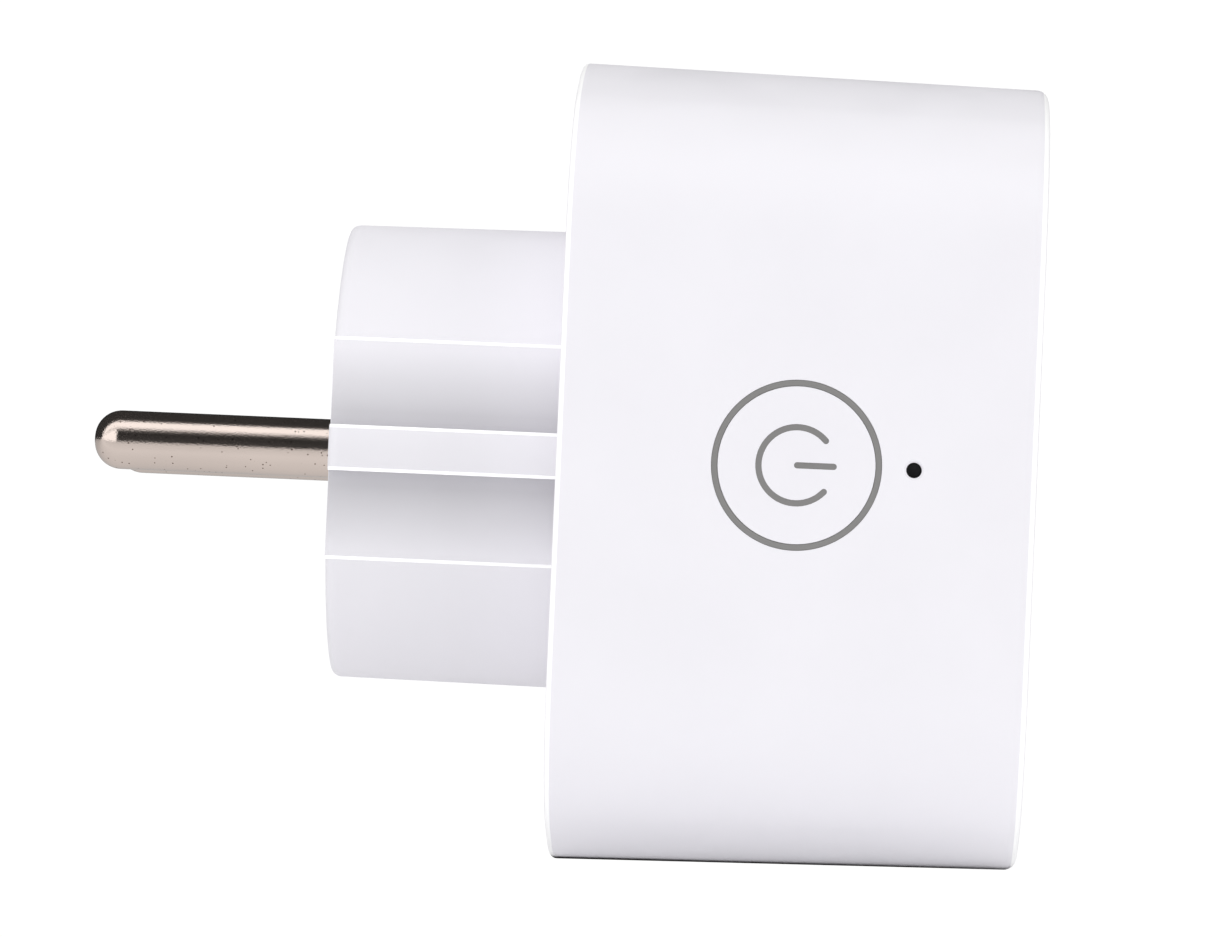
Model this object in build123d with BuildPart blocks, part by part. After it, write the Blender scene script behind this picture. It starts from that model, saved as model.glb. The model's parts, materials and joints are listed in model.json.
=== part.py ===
from build123d import *
import math
import os

os.makedirs("parts", exist_ok=True)

# Smart plug with an earthed round insert and two pins at the back, and a
# matching earthed socket at the front. Depths run along -Y from the engagement
# face, the flat end of the insert that seats in the wall socket. The pins point
# to +Y, the body stands upright along Z, and the power button is on the -X side.

# ---------------------------------------------------------------- body
body_width = 52.0          # across X at the rear edge
body_height = 65.8         # along Z at the rear edge
body_depth = 38.3          # from the rear edge to the front face
draft_angle = 1.1          # the sides lean in towards the front
bow_radius = 45.0          # top and bottom of the outline
corner_radius = 14.0       # corners of the outline
front_edge_radius = 0.95
rear_edge_radius = 0.5
shell_wall = 1.6
front_wall = 2.0
cover_plate = 2.0          # plate that closes the back of the shell
cover_gap = 0.12           # around that plate

# ---------------------------------------------------------------- plug insert
insert_depth = 18.7
insert_radius = 19.1       # where it leaves the rear cover
insert_taper = 0.5
insert_wall = 1.8
face_wall = 2.2
face_edge_radius = 0.9
guide_flat = 16.65         # guide flats, from the axis
guide_height = 18.0        # both flats of one side and the rib between them
rib_width = 3.7
notch_width = 6.4          # notches for the side earth contacts
notch_floor = 16.2

# ---------------------------------------------------------------- pins
pin_radius = 2.4
pin_length = 19.7
pin_spacing = 19.0
pin_tip_radius = 2.2
pin_seat_radius = 2.0      # where it passes through the insert's face wall
pin_seat_gap = 0.02
collar_radius = 3.6
collar_thickness = 1.5
tail_radius = 1.9
tail_length = 5.8
retainer_thickness = 2.0
retainer_width = 27.0
retainer_height = 16.4
retainer_screw_spacing = 12.4

# ---------------------------------------------------------------- socket
recess_radius = 19.6
recess_depth = 17.5
cup_wall = 1.1
cup_floor = 2.5
cup_gap = 0.1              # between the cup and the hole in the shell's front
cup_flange = 2.1           # how far the flange reaches past the cup's wall
flange_thickness = 1.2
guide_pad = recess_radius - 2.6   # guide pads in the recess, from the axis
pad_height = 17.2
groove_width = 4.5         # groove in each pad that takes the plug's rib
groove_floor = recess_radius - 0.5
aperture_radius = 2.75
aperture_chamfer = 0.5
mouth_radius = 0.6

# ---------------------------------------------------------------- boards
solder_gap = 1.1           # between the rear cover and the main board
board_thickness = 1.6
board_margin = 0.6         # from the board's edge to the shell
post_radius = 2.2
pilot_radius = 0.8
screw_gap = 0.02
post_x = 17.0
post_z = 22.5
screw_length = 6.0
screw_head_radius = 1.75
screw_head_height = 1.0
tip_hole_radius = 3.3      # room in the main board for the tips of a plug's pins

# ---------------------------------------------------------------- contacts
metal = 0.75
clip_grip = 4.9            # between the two leaves of a line contact
clip_leaf = 0.6
clip_height = 6.5
clip_length = 9.0
carrier_width = 31.0
carrier_height = 13.6
carrier_pocket = 7.4
shutter_thickness = 1.4
shutter_gap = 0.1
arm_width = 6.6
arm_reach = 12.9
hub_radius = 3.2
pivot_radius = 2.0
pivot_gap = 0.05
coil_radius = 4.1
coil_wire = 0.22
coil_pitch = 0.7
strap_width = 5.0
yoke_inset = 2.7           # from the outside of the cup to the outside of the yoke
yoke_share = 0.57          # of the room between the shutter and the outside of the yoke
earth_reach = 2.3          # how far each socket earth contact stands into the recess
collar_pocket_gap = 0.1
control_gap = 0.1          # between the cup and the control board

# ---------------------------------------------------------------- button
ring_radius = 6.8          # outside of the grey ring
ring_stroke = 0.48
ring_gap = 0.03
ring_flange_radius = 8.4
ring_flange = 0.48
button_gap = 0.04
button_flange_radius = 7.3
button_flange = 0.5
button_travel = 0.25
mark_radius = 3.03         # centre line of the mark's arc
mark_stroke = 0.5
mark_opening = 84.0        # degrees left open on the front side
mark_bar_start = -0.2
mark_bar_end = 3.2
mark_pocket = 0.25
mark_depth = 0.05
plunger_radius = 1.0
switch_size = 4.5
switch_height = 0.9
reset_offset = 9.35        # from the button's axis towards the front
reset_hole_radius = 0.625
reset_radius = 0.8
reset_size = 3.0
reset_height = 1.5
control_board = 0.6
control_height = 19.0

# ---------------------------------------------------------------- worked out
lean = math.radians(draft_angle)
front_depth = insert_depth + body_depth
cup_radius = recess_radius + cup_wall
floor_front = front_depth - recess_depth
floor_back = floor_front - cup_floor
board_back = insert_depth + cover_plate + solder_gap
board_front = board_back + board_thickness
shutter_front = floor_back - shutter_gap
shutter_back = shutter_front - shutter_thickness
carrier_front = shutter_back - 2 * shutter_gap
pin_x = pin_spacing / 2
bow_z = body_height / 2 - bow_radius
corner_x = body_width / 2 - corner_radius
corner_z = bow_z + math.sqrt((bow_radius - corner_radius) ** 2 - corner_x ** 2)
bow_angle = math.atan2(corner_z - bow_z, corner_x)
yoke_outer = cup_radius - yoke_inset
yoke_inner = arm_reach + yoke_share * (yoke_outer - arm_reach)
earth_bump = recess_radius - earth_reach
flange_start = shell_wall + 0.02
flange_end = flange_start + ring_flange
cap_end = flange_end + 0.05 + button_flange
switch_top = cap_end + button_travel + 0.05
board_level = switch_top + switch_height


button_depth = insert_depth + body_depth / 2
button_x = body_width / 2 - body_depth / 2 * math.tan(lean)
control_back = -(button_depth - board_front - 2.0)
control_front = reset_offset + 2.05


def level(depth):
    """Plane across the plug's axis at a depth, facing the socket side."""
    return Plane.XZ.offset(depth)


def body_section(inset):
    """Outline of the body: bowed ends, round corners, flat sides, moved in by inset."""
    side = body_width / 2 - inset
    end = body_height / 2 - inset
    corner = corner_radius - inset
    join_x = corner_x + corner * math.cos(bow_angle)
    join_z = corner_z + corner * math.sin(bow_angle)
    bulge_x = corner_x + corner * math.cos(bow_angle / 2)
    bulge_z = corner_z + corner * math.sin(bow_angle / 2)
    with BuildSketch() as section:
        with BuildLine():
            for up in (1, -1):
                ThreePointArc((-join_x, up * join_z), (0, up * end), (join_x, up * join_z))
                for hand in (1, -1):
                    ThreePointArc(
                        (hand * join_x, up * join_z),
                        (hand * bulge_x, up * bulge_z),
                        (hand * side, up * corner_z),
                    )
            for hand in (1, -1):
                Line((hand * side, -corner_z), (hand * side, corner_z))
        make_face()
    return section.sketch


def side_level(depth):
    """Plane under the body's left side, centred on the button, facing outwards."""
    outer = Plane(
        origin=(-button_x, -button_depth, 0),
        x_dir=(math.sin(lean), -math.cos(lean), 0),
        z_dir=(-math.cos(lean), -math.sin(lean), 0),
    )
    return outer.offset(-depth)


def power_mark():
    """Open ring with a bar through its opening, turned to face the socket."""
    with BuildSketch() as mark:
        with BuildLine(mode=Mode.PRIVATE) as sweep_line:
            CenterArc((0, 0), mark_radius, mark_opening / 2, 360 - mark_opening)
        SlotArc(arc=sweep_line.edges()[0], height=mark_stroke)
        with Locations(((mark_bar_start + mark_bar_end) / 2, 0)):
            SlotOverall(mark_bar_end - mark_bar_start, mark_stroke)
    return mark.sketch


def strip_profile(points, bend):
    """Side view of a bent strip, from its centre line's corners as depth and height."""
    with BuildSketch() as profile:
        with BuildLine():
            FilletPolyline([(-depth, height) for depth, height in points], radius=bend)
        trace(line_width=metal)
    return profile.sketch


# ================================================================ housing
# The shell is one moulding: drafted sides, a front face with a round hole for
# the socket cup, and four posts that the main board is screwed to.
posts = [(x, z) for x in (-post_x, post_x) for z in (-post_z, post_z)]

with BuildPart() as front_shell:
    with BuildSketch(level(insert_depth)):
        add(body_section(0))
    extrude(amount=body_depth, taper=draft_angle)
    front_edges = front_shell.faces().sort_by(Axis.Y)[0].edges()
    fillet(front_edges, radius=front_edge_radius)
    rear_edges = front_shell.faces().sort_by(Axis.Y)[-1].edges()
    fillet(rear_edges, radius=rear_edge_radius)
    with BuildSketch(level(insert_depth)):
        add(body_section(shell_wall))
    extrude(amount=body_depth - front_wall, taper=draft_angle, mode=Mode.SUBTRACT)
    with BuildSketch(level(front_depth - front_wall)):
        Circle(cup_radius + cup_gap)
    extrude(amount=front_wall, mode=Mode.SUBTRACT)
    with BuildSketch(side_level(0)):
        Circle(ring_radius)
        with Locations((reset_offset, 0)):
            Circle(reset_hole_radius)
    extrude(amount=-1.5 * shell_wall, both=True, mode=Mode.SUBTRACT)
    with BuildSketch(level(board_front)):
        with Locations(*posts):
            Circle(post_radius)
    extrude(amount=front_depth - board_front - front_wall / 2)
    with BuildSketch(level(board_front)):
        with Locations(*posts):
            Circle(pilot_radius)
    extrude(amount=screw_length, mode=Mode.SUBTRACT)
front_shell.part.label = "front_shell"
export_step(front_shell.part, "parts/front_shell.step")

# The rear cover closes the shell and carries the round insert. Each side of the
# insert has two guide flats with a rib between them, and notches at the top and
# bottom leave the side earth contacts open.
insert_face_radius = insert_radius - insert_depth * math.tan(math.radians(insert_taper))
hollow_radius = insert_face_radius - insert_wall
hollow_side = guide_flat - insert_wall
hollow_notch = notch_floor - 1.4
strap_depth = 12.5
strap_slot = metal + 0.5
retainer_front = face_wall + collar_thickness
retainer_back = retainer_front + retainer_thickness
retainer_screws_at = [(0, -retainer_screw_spacing / 2), (0, retainer_screw_spacing / 2)]
retainer_pilot = retainer_back - 4.6

with BuildPart() as rear_cover:
    with BuildSketch(level(insert_depth)):
        Circle(insert_radius)
    extrude(amount=-insert_depth, taper=insert_taper)
    fillet(rear_cover.faces().sort_by(Axis.Y)[-1].edges(), radius=face_edge_radius)
    with BuildSketch(level(0)):
        for hand in (1, -1):
            for up in (1, -1):
                with Locations((hand * guide_flat, up * rib_width / 2)):
                    Rectangle(
                        insert_radius,
                        guide_height / 2 - rib_width / 2,
                        align=(Align.MIN if hand > 0 else Align.MAX, Align.MIN if up > 0 else Align.MAX),
                    )
        for up in (1, -1):
            with Locations((0, up * notch_floor)):
                Rectangle(notch_width, insert_radius, align=(Align.CENTER, Align.MIN if up > 0 else Align.MAX))
    extrude(amount=insert_depth, mode=Mode.SUBTRACT)
    with BuildSketch(level(insert_depth)):
        add(body_section(shell_wall + cover_gap))
    extrude(amount=cover_plate, taper=draft_angle)
    with BuildSketch(level(face_wall)):
        Circle(hollow_radius)
        Rectangle(2 * hollow_side, 2 * hollow_radius, mode=Mode.INTERSECT)
        for up in (1, -1):
            with Locations((0, up * hollow_notch)):
                Rectangle(
                    notch_width + 2 * insert_wall,
                    hollow_radius,
                    align=(Align.CENTER, Align.MIN if up > 0 else Align.MAX),
                    mode=Mode.SUBTRACT,
                )
    extrude(amount=insert_depth + cover_plate - face_wall, mode=Mode.SUBTRACT)
    with BuildSketch(level(strap_depth - strap_slot / 2)):
        Rectangle(strap_width + 0.3, 2 * notch_floor + 1)
    extrude(amount=strap_slot, mode=Mode.SUBTRACT)
    with BuildSketch(level(0)):
        with Locations((-pin_x, 0), (pin_x, 0)):
            Circle(pin_seat_radius + pin_seat_gap)
    extrude(amount=face_wall, mode=Mode.SUBTRACT)
    with BuildSketch(level(face_wall)):
        with Locations((-pin_x, 0), (pin_x, 0)):
            Circle(collar_radius + collar_pocket_gap)
    extrude(amount=collar_thickness, mode=Mode.SUBTRACT)
    with BuildSketch(level(face_wall / 2)):
        with Locations(*retainer_screws_at):
            Circle(post_radius)
    extrude(amount=retainer_front - face_wall / 2)
    with BuildSketch(level(retainer_pilot)):
        with Locations(*retainer_screws_at):
            Circle(pilot_radius)
    extrude(amount=retainer_front - retainer_pilot, mode=Mode.SUBTRACT)
rear_cover.part.label = "rear_cover"
export_step(rear_cover.part, "parts/rear_cover.step")

# The cup is the front socket: a round recess with two grooved guide pads, an
# aperture for each line pin, and slots that the earth contacts reach through.
cup_slot_width = strap_width + 0.9
cup_slot_start = floor_front + 2.6
cup_slot_end = front_depth - 4.6
pivot_length = 5.6

with BuildPart() as socket_cup:
    with BuildSketch(level(floor_back)):
        Circle(cup_radius)
    extrude(amount=cup_floor + recess_depth)
    with BuildSketch(level(front_depth - front_wall - flange_thickness - cup_gap)):
        Circle(cup_radius + cup_flange)
    extrude(amount=flange_thickness)
    with BuildSketch(level(floor_front)):
        Circle(recess_radius)
        for hand in (1, -1):
            with Locations((hand * guide_pad, 0)):
                Rectangle(
                    recess_radius,
                    pad_height,
                    align=(Align.MIN if hand > 0 else Align.MAX, Align.CENTER),
                    mode=Mode.SUBTRACT,
                )
        Rectangle(2 * groove_floor, groove_width)
    extrude(amount=recess_depth, mode=Mode.SUBTRACT)
    mouth = socket_cup.faces().sort_by(Axis.Y)[0].inner_wires()[0].edges()
    fillet(mouth, radius=mouth_radius)
    with BuildSketch(level(floor_back)):
        with Locations((-pin_x, 0), (pin_x, 0)):
            Circle(aperture_radius)
    extrude(amount=cup_floor, mode=Mode.SUBTRACT)
    aperture_rims = (
        socket_cup.edges()
        .filter_by(GeomType.CIRCLE)
        .filter_by(lambda edge: abs(edge.radius - aperture_radius) < 0.01)
        .group_by(Axis.Y)[0]
    )
    chamfer(aperture_rims, length=aperture_chamfer)
    with BuildSketch(level(cup_slot_start)):
        Rectangle(cup_slot_width, 2 * cup_radius + 2)
    extrude(amount=cup_slot_end - cup_slot_start, mode=Mode.SUBTRACT)
    with BuildSketch(level(floor_back - pivot_length)):
        Circle(pivot_radius)
    extrude(amount=pivot_length + cup_floor / 2)
    with BuildSketch(side_level(board_level + control_board + control_gap)):
        with Locations((control_back, 0)):
            Rectangle(control_front - control_back, control_height, align=(Align.MIN, Align.CENTER))
    extrude(amount=control_board, mode=Mode.SUBTRACT)
socket_cup.part.label = "socket_cup"
export_step(socket_cup.part, "parts/socket_cup.step")

# ================================================================ plug side
# Each plug pin is a solid round pin with a rounded tip, a collar that bears on
# the inside of the insert, and a tail for its connection.
for pin_name, hand in (("plug_pin_left", -1), ("plug_pin_right", 1)):
    with BuildPart() as plug_pin:
        with BuildSketch(level(-pin_length)):
            with Locations((hand * pin_x, 0)):
                Circle(pin_radius)
        extrude(amount=pin_length)
        fillet(plug_pin.faces().sort_by(Axis.Y)[-1].edges(), radius=pin_tip_radius)
        with BuildSketch(level(0)):
            with Locations((hand * pin_x, 0)):
                Circle(pin_seat_radius)
        extrude(amount=face_wall)
        with BuildSketch(level(face_wall)):
            with Locations((hand * pin_x, 0)):
                Circle(collar_radius)
        extrude(amount=collar_thickness)
        with BuildSketch(level(retainer_front)):
            with Locations((hand * pin_x, 0)):
                Circle(tail_radius)
        extrude(amount=tail_length)
        chamfer(plug_pin.faces().sort_by(Axis.Y)[0].edges(), length=0.3)
    plug_pin.part.label = pin_name
    export_step(plug_pin.part, f"parts/{pin_name}.step")

# The retainer plate clamps both collars against the insert's face wall.
with BuildPart() as pin_retainer:
    with BuildSketch(level(retainer_front)):
        RectangleRounded(retainer_width, retainer_height, 3)
        with Locations((-pin_x, 0), (pin_x, 0)):
            Circle(tail_radius + pivot_gap, mode=Mode.SUBTRACT)
        with Locations(*retainer_screws_at):
            Circle(pilot_radius + 0.3, mode=Mode.SUBTRACT)
    extrude(amount=retainer_thickness)
    fillet(pin_retainer.faces().sort_by(Axis.Y)[0].outer_wire().edges(), radius=0.4)
pin_retainer.part.label = "pin_retainer"
export_step(pin_retainer.part, "parts/pin_retainer.step")

with BuildPart() as retainer_screws:
    with BuildSketch(level(retainer_back)):
        with Locations(*retainer_screws_at):
            Circle(screw_head_radius)
    extrude(amount=screw_head_height)
    with BuildSketch(level(retainer_pilot + 0.1)):
        with Locations(*retainer_screws_at):
            Circle(pilot_radius - screw_gap)
    extrude(amount=retainer_back - retainer_pilot - 0.1)
    with BuildSketch(level(retainer_back + screw_head_height / 2)):
        with Locations(*retainer_screws_at):
            Rectangle(1.8, 0.4)
            Rectangle(0.4, 1.8)
    extrude(amount=screw_head_height / 2, mode=Mode.SUBTRACT)
retainer_screws.part.label = "retainer_screws"
export_step(retainer_screws.part, "parts/retainer_screws.step")

# One bent strip makes both side earth contacts of the plug: a blade lies in
# each notch, and the strip crosses the insert behind the pins.
blade_height = notch_floor + metal / 2 + 0.05
with BuildPart() as plug_earth_strap:
    with BuildSketch(Plane.YZ):
        add(
            strip_profile(
                [
                    (1.2, blade_height),
                    (strap_depth, blade_height),
                    (strap_depth, -blade_height),
                    (1.2, -blade_height),
                ],
                bend=metal / 2 + 0.05,
            )
        )
    extrude(amount=strap_width / 2, both=True)
plug_earth_strap.part.label = "plug_earth_strap"
export_step(plug_earth_strap.part, "parts/plug_earth_strap.step")

# A strip takes each pin's tail to the main board: an eyelet on the tail, an arm
# out to the side, and a leg through the board.
lead_depth = retainer_front + tail_length - 2.2
lead_x = hollow_side - metal
lead_width = 3.6
lead_end = board_front + 0.7
for lead_name, hand in (("live_strip", -1), ("neutral_strip", 1)):
    with BuildPart() as lead_strip:
        with BuildSketch(level(lead_depth)):
            with Locations((hand * pin_x, 0)):
                Circle(collar_radius - 0.4)
            with Locations((hand * (pin_x + lead_x + metal / 2) / 2, 0)):
                Rectangle(lead_x + metal / 2 - pin_x, lead_width)
            with Locations((hand * pin_x, 0)):
                Circle(tail_radius + pivot_gap, mode=Mode.SUBTRACT)
        extrude(amount=metal)
        with BuildSketch(level(lead_depth)):
            with Locations((hand * lead_x, 0)):
                Rectangle(metal, lead_width)
        extrude(amount=lead_end - lead_depth)
    lead_strip.part.label = lead_name
    export_step(lead_strip.part, f"parts/{lead_name}.step")

# ================================================================ main board
link_height = hollow_notch - 1.0
link_width = 2.4
clip_web_z = clip_height - clip_grip / 2 - clip_leaf - 0.5
header_x = button_x - shell_wall - 5.0
header_pins_at = [(-header_x, z) for z in (-3.75, -1.25, 1.25, 3.75)]
hole_gap = 0.12
header_pin = 0.6

with BuildPart() as main_board:
    with BuildSketch(level(board_back)):
        add(body_section(shell_wall + board_margin))
        with Locations(*posts):
            Circle(pilot_radius + 0.3, mode=Mode.SUBTRACT)
        with Locations((-pin_x, 0), (pin_x, 0)):
            Circle(tip_hole_radius, mode=Mode.SUBTRACT)
        with Locations((-pin_x, -clip_web_z), (pin_x, -clip_web_z)):
            Rectangle(2.4 + 2 * hole_gap, clip_leaf + 2 * hole_gap, mode=Mode.SUBTRACT)
        with Locations((-lead_x, 0), (lead_x, 0)):
            Rectangle(metal + 2 * hole_gap, lead_width + 2 * hole_gap, mode=Mode.SUBTRACT)
        with Locations((0, link_height)):
            Rectangle(link_width + 2 * hole_gap, metal + 2 * hole_gap, mode=Mode.SUBTRACT)
        with Locations(*header_pins_at):
            Rectangle(header_pin + hole_gap, header_pin + hole_gap, mode=Mode.SUBTRACT)
    extrude(amount=board_thickness)
main_board.part.label = "main_board"
export_step(main_board.part, "parts/main_board.step")

with BuildPart() as board_screws:
    with BuildSketch(level(board_back - screw_head_height)):
        with Locations(*posts):
            Circle(screw_head_radius)
    extrude(amount=screw_head_height)
    with BuildSketch(level(board_back)):
        with Locations(*posts):
            Circle(pilot_radius - screw_gap)
    extrude(amount=screw_length)
    with BuildSketch(level(board_back - screw_head_height)):
        with Locations(*posts):
            Rectangle(1.8, 0.4)
            Rectangle(0.4, 1.8)
    extrude(amount=screw_head_height / 2, mode=Mode.SUBTRACT)
board_screws.part.label = "board_screws"
export_step(board_screws.part, "parts/board_screws.step")

# ================================================================ socket side
# The carrier stands on the main board and reaches the cup's floor at its two
# ends. It holds the line contacts and, in its middle pocket, the shutter's hub.
hub_pocket = 5.2
hub_depth = 3.3
end_block = 1.9
foot_radius = 1.4
carrier_back = carrier_front - clip_length - 0.9
feet = [(x, z) for x in (-1, 1) for z in (-1, 1)]

with BuildPart() as contact_carrier:
    with BuildSketch(level(carrier_back)):
        RectangleRounded(carrier_width, carrier_height, 2)
    extrude(amount=carrier_front - carrier_back)
    with BuildSketch(level(carrier_front - 0.5)):
        for hand in (1, -1):
            with Locations((hand * (carrier_width / 2 - 0.3), 0)):
                Rectangle(end_block, 5.0, align=(Align.MAX if hand > 0 else Align.MIN, Align.CENTER))
    extrude(amount=floor_back - carrier_front + 0.5)
    with BuildSketch(level(board_front)):
        for side, up in feet:
            with Locations((side * (carrier_width / 2 - 2.2), up * (carrier_height / 2 - 1.6))):
                Circle(foot_radius)
    extrude(amount=carrier_back - board_front + 0.5)
    with BuildSketch(level(carrier_back)):
        with Locations((-pin_x, -0.6), (pin_x, -0.6)):
            Rectangle(carrier_pocket, clip_height + 1.2)
    extrude(amount=carrier_front - carrier_back, mode=Mode.SUBTRACT)
    with BuildSketch(level(carrier_front - hub_depth)):
        Circle(hub_pocket)
    extrude(amount=hub_depth, mode=Mode.SUBTRACT)
    with BuildSketch(level(floor_back - pivot_length - 0.4)):
        Circle(pivot_radius + pivot_gap)
    extrude(amount=pivot_length, mode=Mode.SUBTRACT)
contact_carrier.part.label = "contact_carrier"
export_step(contact_carrier.part, "parts/contact_carrier.step")

# Each line contact is a folded channel: two leaves grip the pin, a web joins
# them underneath, and a tail goes down through the main board.
clip_back = carrier_front - clip_length - 0.4
for clip_name, hand in (("contact_clip_left", -1), ("contact_clip_right", 1)):
    with BuildPart() as contact_clip:
        with BuildSketch(level(clip_back)):
            with Locations((hand * pin_x, -clip_web_z - clip_leaf / 2)):
                Rectangle(clip_grip + 2 * clip_leaf, clip_height, align=(Align.CENTER, Align.MIN))
            with Locations((hand * pin_x, -clip_web_z + clip_leaf / 2)):
                Rectangle(clip_grip, clip_height, align=(Align.CENTER, Align.MIN), mode=Mode.SUBTRACT)
        extrude(amount=clip_length)
        with BuildSketch(level(board_back - 0.4)):
            with Locations((hand * pin_x, -clip_web_z)):
                Rectangle(2.4, clip_leaf)
        extrude(amount=clip_back - board_back + 0.9)
    contact_clip.part.label = clip_name
    export_step(contact_clip.part, f"parts/{clip_name}.step")

# The shutter is a two-armed disc on the cup's pivot. At rest its arms close both
# apertures, and two pins pushed in together turn it out of the way.
with BuildPart() as shutter:
    with BuildSketch(level(shutter_back)):
        Rectangle(2 * arm_reach + 2, arm_width)
        Circle(arm_reach, mode=Mode.INTERSECT)
        Circle(hub_radius + 1.2)
    extrude(amount=shutter_thickness)
    rims = shutter.faces().sort_by(Axis.Y)[0].outer_wire().edges()
    fillet(rims, radius=0.3)
    with BuildSketch(level(carrier_front - hub_depth + 0.4)):
        Circle(hub_radius)
    extrude(amount=shutter_back - carrier_front + hub_depth - 0.4)
    with BuildSketch(level(carrier_front - hub_depth)):
        Circle(pivot_radius + pivot_gap)
    extrude(amount=hub_depth + shutter_front, mode=Mode.SUBTRACT)
shutter.part.label = "shutter"
export_step(shutter.part, "parts/shutter.step")

coil_start = carrier_front - hub_depth + coil_wire + 0.1
with BuildPart() as shutter_spring:
    with BuildLine() as coil_path:
        Helix(
            pitch=coil_pitch,
            height=3 * coil_pitch,
            radius=coil_radius,
            center=(0, -coil_start, 0),
            direction=(0, -1, 0),
        )
    with BuildSketch(coil_path.line ^ 0):
        Circle(coil_wire)
    sweep()
shutter_spring.part.label = "shutter_spring"
export_step(shutter_spring.part, "parts/shutter_spring.step")

# The socket's earth contact is a flat ring around the shutter with an arm bent
# forward above and below the cup. Each arm dips through its slot in the cup.
yoke_depth = floor_back - 0.15 - metal
arm_height = cup_radius + 0.15 + metal / 2
arm_end = front_depth - front_wall - flange_thickness - 0.6
dip_middle = (cup_slot_start + cup_slot_end) / 2
dip_reach = (cup_slot_end - cup_slot_start) / 2 - 1.0
dip_height = earth_bump + metal / 2
with BuildPart() as socket_earth_clip:
    with BuildSketch(level(yoke_depth)):
        Circle(yoke_outer)
        Rectangle(strap_width, 2 * arm_height)
        Circle(yoke_inner, mode=Mode.SUBTRACT)
    extrude(amount=metal)
    for up in (1, -1):
        with BuildSketch(Plane.YZ):
            add(
                strip_profile(
                    [
                        (yoke_depth + metal / 2, up * yoke_outer),
                        (yoke_depth + metal / 2, up * arm_height),
                        (dip_middle - dip_reach, up * arm_height),
                        (dip_middle, up * dip_height),
                        (dip_middle + dip_reach, up * arm_height),
                        (arm_end, up * arm_height),
                    ],
                    bend=metal / 2 + 0.05,
                )
            )
        extrude(amount=strap_width / 2, both=True)
socket_earth_clip.part.label = "socket_earth_clip"
export_step(socket_earth_clip.part, "parts/socket_earth_clip.step")

# A narrow strip joins the plug's earth strap to the socket's.
with BuildPart() as earth_link:
    with BuildSketch(Plane.YZ):
        yoke_middle = (yoke_inner + yoke_outer) / 2
        add(
            strip_profile(
                [
                    (strap_depth + metal / 2, link_height),
                    (board_front + 2, link_height),
                    (board_front + 5, yoke_middle),
                    (yoke_depth, yoke_middle),
                ],
                bend=metal,
            )
        )
    extrude(amount=link_width / 2, both=True)
earth_link.part.label = "earth_link"
export_step(earth_link.part, "parts/earth_link.step")

# ================================================================ button side
# The light ring is a smoky translucent ring flush with the body's side. Its
# flange is bonded behind the wall, and lights on the control board shine into it.
with BuildPart() as light_ring:
    with BuildSketch(side_level(0)):
        Circle(ring_radius - ring_gap)
        Circle(ring_radius - ring_stroke, mode=Mode.SUBTRACT)
    extrude(amount=-flange_end)
    with BuildSketch(side_level(flange_start)):
        Circle(ring_flange_radius)
        Circle(ring_radius - ring_stroke, mode=Mode.SUBTRACT)
    extrude(amount=-ring_flange)
light_ring.part.label = "light_ring"
export_step(light_ring.part, "parts/light_ring.step")

cap_radius = ring_radius - ring_stroke - button_gap
with BuildPart() as power_button:
    with BuildSketch(side_level(0)):
        Circle(cap_radius)
    extrude(amount=-cap_end)
    with BuildSketch(side_level(cap_end - button_flange)):
        Circle(button_flange_radius)
    extrude(amount=-button_flange)
    with BuildSketch(side_level(0)):
        add(power_mark())
    extrude(amount=-mark_pocket, mode=Mode.SUBTRACT)
power_button.part.label = "power_button"
export_step(power_button.part, "parts/power_button.step")

with BuildPart() as power_symbol:
    with BuildSketch(side_level(mark_depth)):
        add(power_mark())
    extrude(amount=mark_depth - mark_pocket)
power_symbol.part.label = "power_symbol"
export_step(power_symbol.part, "parts/power_symbol.step")

# Two low tact switches sit on the control board: one under the button, and one
# under the pinhole, where the end of a pin presses its plunger.
plunger_stroke_room = 0.15
with BuildPart() as power_switch:
    with BuildSketch(side_level(switch_top)):
        RectangleRounded(switch_size, switch_size, 0.5)
    extrude(amount=-switch_height)
    with BuildSketch(side_level(switch_top)):
        Circle(plunger_radius + 0.08)
    extrude(amount=plunger_stroke_room - switch_height, mode=Mode.SUBTRACT)
power_switch.part.label = "power_switch"
export_step(power_switch.part, "parts/power_switch.step")

power_plunger_end = board_level - plunger_stroke_room - button_travel - 0.05
with BuildPart() as power_plunger:
    with BuildSketch(side_level(cap_end)):
        Circle(plunger_radius)
    extrude(amount=cap_end - power_plunger_end)
power_plunger.part.label = "power_plunger"
export_step(power_plunger.part, "parts/power_plunger.step")

with BuildPart() as reset_switch:
    with BuildSketch(side_level(board_level - reset_height)):
        with Locations((reset_offset, 0)):
            RectangleRounded(reset_size, reset_size, 0.4)
    extrude(amount=-reset_height)
    with BuildSketch(side_level(board_level - reset_height)):
        with Locations((reset_offset, 0)):
            Circle(reset_radius + 0.08)
    extrude(amount=plunger_stroke_room - reset_height, mode=Mode.SUBTRACT)
reset_switch.part.label = "reset_switch"
export_step(reset_switch.part, "parts/reset_switch.step")

reset_top = board_level - reset_height - 0.35
reset_plunger_end = board_level - plunger_stroke_room - button_travel - 0.05
with BuildPart() as reset_plunger:
    with BuildSketch(side_level(reset_top)):
        with Locations((reset_offset, 0)):
            Circle(reset_radius)
    extrude(amount=reset_top - reset_plunger_end)
reset_plunger.part.label = "reset_plunger"
export_step(reset_plunger.part, "parts/reset_plunger.step")

with BuildPart() as control_circuit:
    with BuildSketch(side_level(board_level)) as control_outline:
        with Locations((control_back, 0)):
            Rectangle(control_front - control_back, control_height, align=(Align.MIN, Align.CENTER))
        fillet(control_outline.vertices(), radius=1.0)
    extrude(amount=-control_board)
control_circuit.part.label = "control_board"
export_step(control_circuit.part, "parts/control_board.step")

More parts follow.
